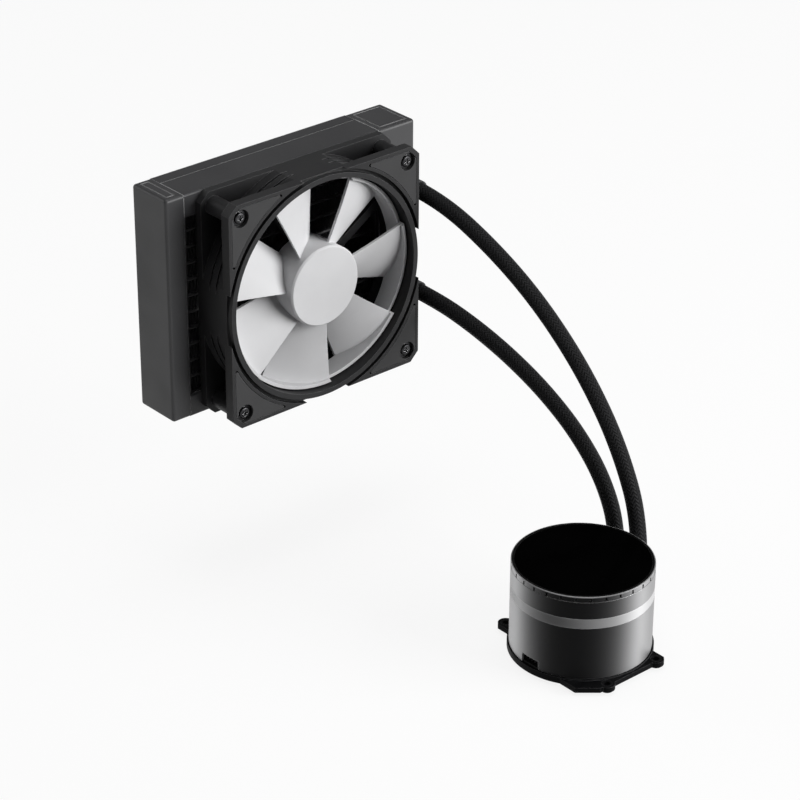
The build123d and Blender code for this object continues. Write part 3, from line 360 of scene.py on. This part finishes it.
fin_rows = 11
fin_folds = 62
fin_sheet = 0.00014
fin_crest = 0.25
fin_paint = finish(
    "fin_paint", colour=(0.018, 0.018, 0.019), patch_colour=(0.028, 0.028, 0.03),
    edge_highlight_colour=(0.07, 0.07, 0.072), roughness=(0.4, 0.55), edge_radius=0.00008, grain_size=0.0008,
    grain_depth=0.000006, patch_size=0.01)
for row in range(1, fin_rows + 1):
    lowest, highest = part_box(f"fin_row_{row:02d}")
    strip = fin_strip(f"fine_fin_strip_{row:02d}", lowest, highest, fin_folds, fin_sheet, fin_crest)
    strip.data.materials.append(fin_paint)
    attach(strip, "cooler")
    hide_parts(f"fin_row_{row:02d}")


# Fan frame: one moulding in dark grey plastic with a fine matt texture, and a soft rubber pad let
# into each front corner.
# Frame and pads take a lighter colour along their edges, a painted highlight.
frame_plastic = finish(
    "frame_plastic", colour=(0.018, 0.018, 0.019), patch_colour=(0.022, 0.022, 0.023),
    edge_highlight_colour=(0.17, 0.17, 0.173), roughness=(0.46, 0.56), ior=1.3, edge_radius=0.0002,
    grain_size=0.00035, grain_depth=0.000014, patch_size=0.015)
pad_rubber = finish(
    "pad_rubber", colour=(0.024, 0.024, 0.025), patch_colour=(0.029, 0.029, 0.030),
    edge_highlight_colour=(0.12, 0.12, 0.125), roughness=(0.72, 0.8), edge_radius=0.0002, grain_size=0.00025,
    grain_depth=0.000012, patch_size=0.01)
dress(frame_plastic, "fan_frame")
dress(pad_rubber, "corner_pad_1", "corner_pad_2", "corner_pad_3", "corner_pad_4")


# Fan rotor: hub, seven blades and tip ring moulded as one in smooth matt white plastic. It is
# pressed on the motor's shaft and turns inside the frame's duct.
# Its edges take a near white colour, a painted highlight along the tip ring and the blades.
rotor_plastic = finish(
    "rotor_plastic", colour=(0.65, 0.65, 0.66), patch_colour=(0.68, 0.68, 0.69),
    edge_highlight_colour=(0.86, 0.86, 0.87), roughness=(0.44, 0.54), ior=1.35, edge_radius=0.00025,
    grain_size=0.0003, grain_depth=0.000005, patch_size=0.02)
dress(rotor_plastic, "fan_rotor")


# Fan screws: four long pan head screws in black zinc. Each goes through a corner of the frame
# into the radiator's folded channel.
# Their edges take a light grey, a painted highlight round each dark head.
screw_zinc = finish(
    "screw_zinc", colour=(0.03, 0.03, 0.032), patch_colour=(0.05, 0.05, 0.052),
    edge_highlight_colour=(0.55, 0.55, 0.56), roughness=(0.26, 0.38), metallic=1.0, edge_radius=0.00015,
    grain_size=0.0002, grain_depth=0.000004, patch_size=0.002)
dress(screw_zinc, "fan_screws")


# Fan motor: a steel cup with its ring magnet turns round a wound steel core, on a shaft in a
# sintered bearing, with a small circuit board under the windings.
steel = finish(
    "steel", colour=(0.5, 0.5, 0.51), patch_colour=(0.56, 0.56, 0.57), edge_highlight_colour=(0.7, 0.7, 0.71),
    roughness=(0.28, 0.4), metallic=1.0, edge_radius=0.0001, grain_size=0.0003, grain_depth=0.000003,
    patch_size=0.006)
ferrite = finish(
    "ferrite", colour=(0.045, 0.045, 0.05), patch_colour=(0.07, 0.068, 0.07),
    edge_highlight_colour=(0.1, 0.1, 0.105), roughness=(0.5, 0.65), metallic=0.3, edge_radius=0.0002,
    grain_size=0.0004, grain_depth=0.00001, patch_size=0.004)
bronze = finish(
    "bronze", colour=(0.5, 0.33, 0.15), patch_colour=(0.58, 0.4, 0.2), edge_highlight_colour=(0.7, 0.5, 0.28),
    roughness=(0.4, 0.55), metallic=1.0, edge_radius=0.0002, grain_size=0.0002, grain_depth=0.000006,
    patch_size=0.003)
copper = finish(
    "copper", colour=(0.72, 0.34, 0.2), patch_colour=(0.78, 0.42, 0.27), edge_highlight_colour=(0.88, 0.55, 0.4),
    roughness=(0.2, 0.34), metallic=1.0, edge_radius=0.0002, grain_size=0.0005, grain_depth=0.000003,
    patch_size=0.008)
board_lacquer = finish(
    "board_lacquer", colour=(0.012, 0.06, 0.03), patch_colour=(0.02, 0.085, 0.045),
    edge_highlight_colour=(0.25, 0.22, 0.13), roughness=(0.3, 0.42), edge_radius=0.0002, grain_size=0.0012,
    grain_depth=0.00001, patch_size=0.004)
pale_nylon = finish(
    "pale_nylon", colour=(0.62, 0.6, 0.54), patch_colour=(0.7, 0.68, 0.62),
    edge_highlight_colour=(0.76, 0.75, 0.7), roughness=(0.4, 0.5), edge_radius=0.0002, grain_size=0.0004,
    grain_depth=0.000006, patch_size=0.006)
dress(steel, "rotor_yoke", "fan_shaft", "fan_stator")
dress(ferrite, "rotor_magnet")
dress(bronze, "fan_bearing")
dress(copper, "fan_coils")
dress(board_lacquer, "fan_board")
dress(pale_nylon, "shaft_clip")


# Pump shells: two round covers in a satin black coat, above and below the pale resin ring that
# carries the light of the board behind it.
def lustre(name, facing_colour, side_colour, roughness, metallic, facing_range, edge_radius=0.0003):
    """A satin coat that is dull and dark where it is seen square on, and lighter and more metallic at a
    glancing angle and along its edges. The added mirroring is gloss, but the lighter colour also
    shows in the matt share: a painted sheen at the sides and a painted highlight along the edges. The
    pairs give the plain surface's and a patch's roughness, how metallic it is square on and at the
    side, and the facing values between which it goes from the first to the second."""
    material, parts, wires, output = empty_material(name)
    shader = parts.new("ShaderNodeBsdfPrincipled")
    shader.inputs["IOR"].default_value = 1.15
    shader.inputs["Anisotropic"].default_value = 0.8
    shader.inputs["Anisotropic Rotation"].default_value = 0.25
    brushed = parts.new("ShaderNodeTangent")
    brushed.direction_type = "RADIAL"
    brushed.axis = "Z"
    wires.new(brushed.outputs[0], shader.inputs["Tangent"])
    effect = parts.new("ShaderNodeGroup")
    effect.node_tree = surface
    grain_size, grain_depth, patch_size = 0.0004, 0.000003, 0.02
    for socket, value in zip(effect.inputs, (edge_radius, grain_size, grain_depth, patch_size)):
        socket.default_value = value
    glance = parts.new("ShaderNodeLayerWeight")
    glance.inputs["Blend"].default_value = 0.5
    rise = parts.new("ShaderNodeMapRange")
    rise.interpolation_type = "SMOOTHSTEP"
    rise.inputs["From Min"].default_value, rise.inputs["From Max"].default_value = facing_range
    colour = parts.new("ShaderNodeMix")
    colour.data_type = "RGBA"
    colour.inputs["A"].default_value = (*facing_colour, 1)
    colour.inputs["B"].default_value = (*side_colour, 1)
    metal = parts.new("ShaderNodeMapRange")
    metal.inputs["To Min"].default_value, metal.inputs["To Max"].default_value = metallic
    gloss = parts.new("ShaderNodeMapRange")
    gloss.inputs["To Min"].default_value, gloss.inputs["To Max"].default_value = roughness
    either = parts.new("ShaderNodeMath")
    either.operation = "MAXIMUM"
    wires.new(glance.outputs["Facing"], rise.inputs["Value"])
    wires.new(rise.outputs[0], either.inputs[0])
    wires.new(effect.outputs["Edges"], either.inputs[1])
    wires.new(either.outputs[0], colour.inputs["Factor"])
    wires.new(either.outputs[0], metal.inputs["Value"])
    wires.new(colour.outputs["Result"], shader.inputs["Base Color"])
    wires.new(metal.outputs[0], shader.inputs["Metallic"])
    wires.new(effect.outputs["Patches"], gloss.inputs["Value"])
    wires.new(gloss.outputs[0], shader.inputs["Roughness"])
    wires.new(effect.outputs["Normal"], shader.inputs["Normal"])
    wires.new(shader.outputs[0], output.inputs["Surface"])
    return material


# Both coats grow lighter and more metallic towards the sides, where they are seen at a glancing angle:
# real gloss in part, and in part a painted sheen, most of all on the band, which stays largely matt.
shell_coat = lustre("shell_coat", facing_colour=(0.007, 0.007, 0.0075), side_colour=(0.46, 0.46, 0.465),
                    roughness=(0.46, 0.5), metallic=(0.0, 1.0), facing_range=(0.11, 0.7))
band_resin = lustre("band_resin", facing_colour=(0.36, 0.36, 0.365), side_colour=(0.7, 0.7, 0.705),
                    roughness=(0.48, 0.52), metallic=(0.0, 0.45), facing_range=(0.13, 0.6))
dress(shell_coat, "lower_shell", "upper_shell")
dress(band_resin, "light_band")


# Pump lens: a polished black disc. It lies in the seat of the notched ring, and turns with it.
lens_black = finish(
    "lens_black", colour=(0.0006, 0.0006, 0.0006), patch_colour=(0.0009, 0.0009, 0.0009),
    edge_highlight_colour=(0.02, 0.02, 0.02), roughness=(0.08, 0.12), ior=1.09, edge_radius=0.00015,
    grain_size=0.004, grain_depth=0.000002, patch_size=0.03)
dress(lens_black, "cap_lens")


# Pump ring: a turned ring round the lens in the shells' coat, with a lighter coat on its rounded top
# edge as a painted highlight, and thirty narrow grip notches cut down its side, near black inside as
# painted shade. It turns with the lens on the upper shell.
cap_coat = lustre("cap_coat", facing_colour=(0.007, 0.007, 0.0075), side_colour=(0.46, 0.46, 0.465),
                  roughness=(0.46, 0.5), metallic=(0.0, 1.0), facing_range=(0.11, 0.7),
                  edge_radius=0.00002)
# The rounded top edge's coat is lighter than the rest, a painted highlight.
cap_edge_highlight = lustre("cap_edge_highlight", facing_colour=(0.2, 0.2, 0.204), side_colour=(0.6, 0.6, 0.605),
                  roughness=(0.4, 0.46), metallic=(0.3, 1.0), facing_range=(0.11, 0.7),
                  edge_radius=0.00002)
cap_black = finish(
    "cap_black", colour=(0.003, 0.003, 0.003), patch_colour=(0.005, 0.005, 0.005),
    edge_highlight_colour=(0.012, 0.012, 0.012), roughness=(0.3, 0.4), ior=1.2, edge_radius=0.00008,
    grain_size=0.0004, grain_depth=0.000003, patch_size=0.004)


def turned_ring(name, profile, angles, cut, centre, top):
    """A closed ring: the profile's radius and height, drawn round the axis at each angle. The radius
    is smaller by each profile point's own depth at the angles that are cut. Faces in a cut take the
    second material, and the others the one that their profile point names."""
    radius, height, depth, coat = (np.array(column)[:, None] for column in zip(*profile))
    reach = radius - depth * cut[None, :]
    points = np.stack([centre[0] + reach * np.cos(angles), centre[1] + reach * np.sin(angles),
                       top + height + 0 * reach], -1).reshape(-1, 3)
    rows, turns = len(profile), len(angles)
    row, turn = (grid.ravel() for grid in np.meshgrid(np.arange(rows), np.arange(turns), indexing="ij"))
    after, above = (turn + 1) % turns, (row + 1) % rows
    faces = np.column_stack([row * turns + turn, row * turns + after, above * turns + after,
                             above * turns + turn])
    ring = mesh_piece(name, points, faces.tolist())
    # Faces in a cut take the second coat; on the pump ring that is a near black one, painted shade in
    # the notches.
    sunk = (np.maximum(cut[turn], cut[after]) > 0) & (depth[row, 0] > 0)
    coats = np.where(sunk, 1, coat[row, 0]).astype(int)
    ring.data.polygons.foreach_set("material_index", coats)
    ring.data.polygons.foreach_set("use_smooth", np.ones(len(faces), bool))
    sharp_over = 28.0
    ring.data.set_sharp_from_angle(angle=np.radians(sharp_over))
    return ring


lowest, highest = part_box("cap_ring")
outer = (highest[0] - lowest[0]) / 2
axis_place = ((lowest[0] + highest[0]) / 2, (lowest[1] + highest[1]) / 2)
notches = 30
notch_pitch = 360.0 / notches
notch_half_width = 0.82
first_notch = np.radians(-115.6)
notch_walls = [-0.83, -0.81, 0.81, 0.83]
between_notches = np.linspace(1.0, 11.0, 8)
steps = np.concatenate([notch_walls, between_notches])
angles = (first_notch + np.radians(notch_pitch * np.arange(notches)[:, None] + steps[None, :])).ravel()
cut = np.tile(np.abs(steps) < notch_half_width, notches).astype(float)

# Each point of the ring's section: radius, height from the top, depth of a notch there, and coat.
# It runs from the bore out under the skirt, up the outer wall, over the rounded edge and down
# into the lens's seat.
# In the notches the black coat is painted shade, and the edge coat on the rounded top edge is a painted
# highlight.
coat, black, edge = 0, 1, 2
bore, lens_seat, neck, skirt = 0.0284, 0.0332, 0.0296, 0.0306
skirt_foot, skirt_top, wall_foot, seat_height = -0.0062, -0.0054, -0.0026, -0.0016
notch_depth = 0.0009
notch_top, wall_top, edge_foot = -0.00052, -0.0005, -0.0004
cap_profile = [(bore, skirt_foot, 0, black), (skirt, skirt_foot, 0, black),
               (skirt, skirt_top, 0, black), (neck, skirt_top, 0, black), (neck, wall_foot, 0, black),
               (outer, wall_foot, notch_depth, coat), (outer, notch_top, notch_depth, coat),
               (outer, wall_top, 0, coat), (outer, edge_foot, 0, edge),
               (outer - 0.00012, -0.00012, 0, edge), (outer - 0.0004, 0, 0, edge),
               (outer - 0.0006, 0, 0, black), (lens_seat, 0, 0, black),
               (lens_seat, seat_height, 0, black), (bore, seat_height, 0, black)]
notched_cap = turned_ring("notched_cap_ring", cap_profile, angles, cut, axis_place, highest[2])
for material in (cap_coat, cap_black, cap_edge_highlight):
    notched_cap.data.materials.append(material)
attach(notched_cap, "cap")
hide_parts("cap_ring")


# Pump bracket: a stamped steel plate in black paint round the foot of the pump, with a black bush
# in each of its four ears for the screws to the socket.
bracket_paint = finish(
    "bracket_paint", colour=(0.003, 0.003, 0.0035), patch_colour=(0.006, 0.006, 0.0065),
    edge_highlight_colour=(0.09, 0.09, 0.094), roughness=(0.42, 0.52), ior=1.12, edge_radius=0.0003,
    grain_size=0.0005, grain_depth=0.000008, patch_size=0.012)
black_bush = finish(
    "black_bush", colour=(0.003, 0.003, 0.0035), patch_colour=(0.006, 0.006, 0.0065),
    edge_highlight_colour=(0.03, 0.03, 0.032), roughness=(0.5, 0.6), ior=1.12, edge_radius=0.0002,
    grain_size=0.0003, grain_depth=0.000005, patch_size=0.004)
dress(bracket_paint, "bracket")
dress(black_bush, "ear_bushes")


# Pump housing and elbows: glass filled black nylon. Inside it are the sealed motor, the magnet
# wheel on its pin and the two boards, and under it the copper plate on its seal.
dark_nylon = finish(
    "dark_nylon", colour=(0.016, 0.016, 0.017), patch_colour=(0.022, 0.022, 0.023),
    edge_highlight_colour=(0.05, 0.05, 0.052), roughness=(0.38, 0.5), ior=1.3, edge_radius=0.0003,
    grain_size=0.0004, grain_depth=0.00001, patch_size=0.01)
soft_seal = finish(
    "soft_seal", colour=(0.02, 0.02, 0.02), patch_colour=(0.026, 0.026, 0.026),
    edge_highlight_colour=(0.04, 0.04, 0.04), roughness=(0.7, 0.8), edge_radius=0.0002, grain_size=0.0003,
    grain_depth=0.000005, patch_size=0.005)
dress(dark_nylon, "pump_housing", "rotor_can", "front_elbow", "rear_elbow", "cable_socket")
dress(soft_seal, "plate_gasket")
dress(board_lacquer, "led_board", "control_board")
dress(copper, "cold_plate", "pump_coils")
dress(steel, "plate_screws", "impeller_pin", "pump_stator")
dress(pale_nylon, "impeller")
dress(ferrite, "impeller_magnet")


# Hoses: two rubber hoses in a black woven sleeve. Each leaves a port on the radiator, arches over
# and down near one upright plane, and ends straight down in an elbow beside the pump.
def spline_points(route):
    """Even points along the smooth spline whose control points are the route, in metres."""
    line = bpy.data.curves.new("route", "CURVE")
    line.dimensions = "3D"
    line.resolution_u = 32
    spline = line.splines.new("NURBS")
    spline.points.add(len(route) - 1)
    for point, place in zip(spline.points, route):
        point.co = (*place, 1.0)
    spline.order_u = 3
    spline.use_endpoint_u = True
    carrier = bpy.data.objects.new("route", line)
    bpy.context.scene.collection.objects.link(carrier)
    bpy.context.view_layer.update()
    graph = bpy.context.evaluated_depsgraph_get()
    mesh = bpy.data.meshes.new_from_object(carrier.evaluated_get(graph))
    points = np.empty(len(mesh.vertices) * 3)
    mesh.vertices.foreach_get("co", points)
    bpy.data.objects.remove(carrier)
    bpy.data.curves.remove(line)
    bpy.data.meshes.remove(mesh)
    return points.reshape(-1, 3)


def even_steps(points, step):
    """The same line, read at equal distances along it."""
    along = np.concatenate([[0], np.cumsum(np.linalg.norm(np.diff(points, axis=0), axis=1))])
    places = np.linspace(0, along[-1], int(round(along[-1] / step)) + 1)
    return np.column_stack([np.interp(places, along, points[:, axis]) for axis in range(3)])


def tube(name, line, radius, sides):
    """A round tube: each ring is the line's point plus radius times the cosine and sine of an even
    angle along two directions square to the line. Its map counts turns round the tube, and along it
    the length in units of one turn."""
    heading = np.gradient(line, axis=0)
    heading /= np.linalg.norm(heading, axis=1)[:, None]
    side = np.cross(heading, [1.0, 0.0, 0.0])
    side /= np.linalg.norm(side, axis=1)[:, None]
    other = np.cross(heading, side)
    angle = np.linspace(0, 2 * np.pi, sides, endpoint=False)
    rings = (line[:, None, :] + radius * np.cos(angle)[None, :, None] * side[:, None, :]
             + radius * np.sin(angle)[None, :, None] * other[:, None, :])
    count = len(line)
    points = np.vstack([rings.reshape(-1, 3), line[0], line[-1]])
    grids = np.meshgrid(np.arange(count - 1), np.arange(sides), indexing="ij")
    ring, step = (grid.ravel() for grid in grids)
    after = (step + 1) % sides
    walls = np.column_stack([ring * sides + step, ring * sides + after,
                             (ring + 1) * sides + after, (ring + 1) * sides + step])
    spoke = np.arange(sides)
    next_spoke = (spoke + 1) % sides
    last_ring = (count - 1) * sides
    start_middle, end_middle = np.full(sides, count * sides), np.full(sides, count * sides + 1)
    start_cap = np.column_stack([next_spoke, spoke, start_middle])
    end_cap = np.column_stack([last_ring + spoke, last_ring + next_spoke, end_middle])
    piece = mesh_piece(name, points, walls.tolist() + start_cap.tolist() + end_cap.tolist())
    along = np.concatenate([[0], np.cumsum(np.linalg.norm(np.diff(line, axis=0), axis=1))])
    turns = along / (2 * np.pi * radius)
    across = np.column_stack([step, step + 1, step + 1, step]) / sides
    length = np.column_stack([turns[ring], turns[ring], turns[ring + 1], turns[ring + 1]])
    wall_map = np.stack([across, length], -1).reshape(-1, 2)
    layer = piece.data.uv_layers.new(name="sleeve")
    layer.data.foreach_set("uv", np.vstack([wall_map, np.zeros((6 * sides, 2))]).ravel())
    piece.data.polygons.foreach_set("use_smooth", np.ones(len(piece.data.polygons), bool))
    return piece


# The sleeve's weave: two sets of round strands wind round the hose in opposite ways, and each
# strand passes over two and under two. A strand beneath keeps a share of its height.
braid, given, result = numbers_group(
    "woven_sleeve", [("Strands", 16.0), ("Slope", 0.8)],
    [("Height", "NodeSocketFloat"), ("Crossing", "NodeSocketFloat")])
parts, wires = braid.nodes, braid.links


def reckon(operation, first, second=None):
    """One step of arithmetic inside the braid's group: each value is a socket or a number."""
    step = parts.new("ShaderNodeMath")
    step.operation = operation
    for socket, value in zip(step.inputs, (first, second)):
        if isinstance(value, (int, float)):
            socket.default_value = value
        elif value is not None:
            wires.new(value, socket)
    return step.outputs[0]


share_beneath = 0.4
sleeve_map = parts.new("ShaderNodeUVMap")
sleeve_map.uv_map = "sleeve"
split = parts.new("ShaderNodeSeparateXYZ")
wires.new(sleeve_map.outputs[0], split.inputs[0])
slanted = reckon("MULTIPLY", split.outputs["Y"], given.outputs["Slope"])
heights = []
counts = []
for operation in ("ADD", "SUBTRACT"):
    strand = reckon("MULTIPLY", reckon(operation, split.outputs["X"], slanted), given.outputs["Strands"])
    across = reckon("SUBTRACT", reckon("MULTIPLY", reckon("FRACT", strand), 2.0), 1.0)
    square = reckon("SUBTRACT", 1.0, reckon("MULTIPLY", across, across))
    heights.append(reckon("SQRT", reckon("MAXIMUM", square, 0.0)))
    counts.append(reckon("FLOOR", strand))
order = reckon("FLOORED_MODULO", reckon("ADD", counts[0], counts[1]), 4.0)
over = reckon("LESS_THAN", order, 1.5)
under = reckon("SUBTRACT", 1.0, over)
tops = []
for height, on_top in zip(heights, (over, under)):
    lift = reckon("ADD", reckon("MULTIPLY", on_top, 1.0 - share_beneath), share_beneath)
    tops.append(reckon("MULTIPLY", height, lift))
wires.new(reckon("MAXIMUM", tops[0], tops[1]), result.inputs["Height"])
wires.new(over, result.inputs["Crossing"])

hose_sleeve, parts, wires, output = empty_material("hose_sleeve")
shader = parts.new("ShaderNodeBsdfPrincipled")
shader.inputs["Specular IOR Level"].default_value = 0.08
weave = parts.new("ShaderNodeGroup")
weave.node_tree = braid
relief = parts.new("ShaderNodeBump")
relief.inputs["Distance"].default_value = 0.0004
# The strands are darker where the weave lies low, in the grooves between strands and where one passes
# under another: painted shade.
weave_shade_mix = parts.new("ShaderNodeMix")
weave_shade_mix.data_type = "RGBA"
weave_shade_mix.inputs["A"].default_value = (0.0008, 0.0008, 0.0009, 1)
weave_shade_mix.inputs["B"].default_value = (0.02, 0.02, 0.021, 1)
gloss = parts.new("ShaderNodeMapRange")
gloss.inputs["To Min"].default_value = 0.7
gloss.inputs["To Max"].default_value = 0.5
wires.new(weave.outputs["Height"], relief.inputs["Height"])
wires.new(weave.outputs["Height"], weave_shade_mix.inputs["Factor"])
wires.new(weave.outputs["Crossing"], gloss.inputs["Value"])
wires.new(weave_shade_mix.outputs["Result"], shader.inputs["Base Color"])
wires.new(gloss.outputs[0], shader.inputs["Roughness"])
wires.new(relief.outputs[0], shader.inputs["Normal"])
wires.new(shader.outputs[0], output.inputs["Surface"])

# Each route's points, in metres, from the radiator's port to the elbow beside the pump.
hose_radius = 0.0042
hose_sides = 40
hose_step = 0.0012
upper_route = [
    (0.0700, -0.0350, 0.0283), (0.0700, -0.0587, 0.0283), (0.0705, -0.0994, 0.0144),
    (0.0710, -0.1334, -0.0039), (0.0715, -0.1643, -0.0292), (0.0720, -0.1887, -0.0595),
    (0.0725, -0.2050, -0.0962), (0.0725, -0.2050, -0.1270),
]
lower_route = [
    (0.0700, -0.0350, -0.0283), (0.0700, -0.0570, -0.0283), (0.0704, -0.0839, -0.0324),
    (0.0708, -0.1104, -0.0393), (0.0712, -0.1360, -0.0492), (0.0717, -0.1596, -0.0631),
    (0.0721, -0.1786, -0.0818), (0.0725, -0.1893, -0.1060), (0.0725, -0.1893, -0.1270),
]
for name, route, length in (("upper", upper_route, 0.2540), ("lower", lower_route, 0.2048)):
    line = even_steps(spline_points(route), hose_step)
    hose = tube(f"{name}_braided_hose", line, hose_radius, hose_sides)
    hose.data.materials.append(hose_sleeve)
    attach(hose, "cooler")
    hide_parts(f"{name}_hose")


# Hose collars: matt black sleeves, shrunk over both ends of each hose where it meets its port and
# its elbow.
collar_sleeve = finish(
    "collar_sleeve", colour=(0.012, 0.012, 0.013), patch_colour=(0.017, 0.017, 0.018),
    edge_highlight_colour=(0.04, 0.04, 0.042), roughness=(0.5, 0.62), edge_radius=0.0003, grain_size=0.0006,
    grain_depth=0.00001, patch_size=0.006)
dress(collar_sleeve, "upper_collars", "lower_collars")

lowest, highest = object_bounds()
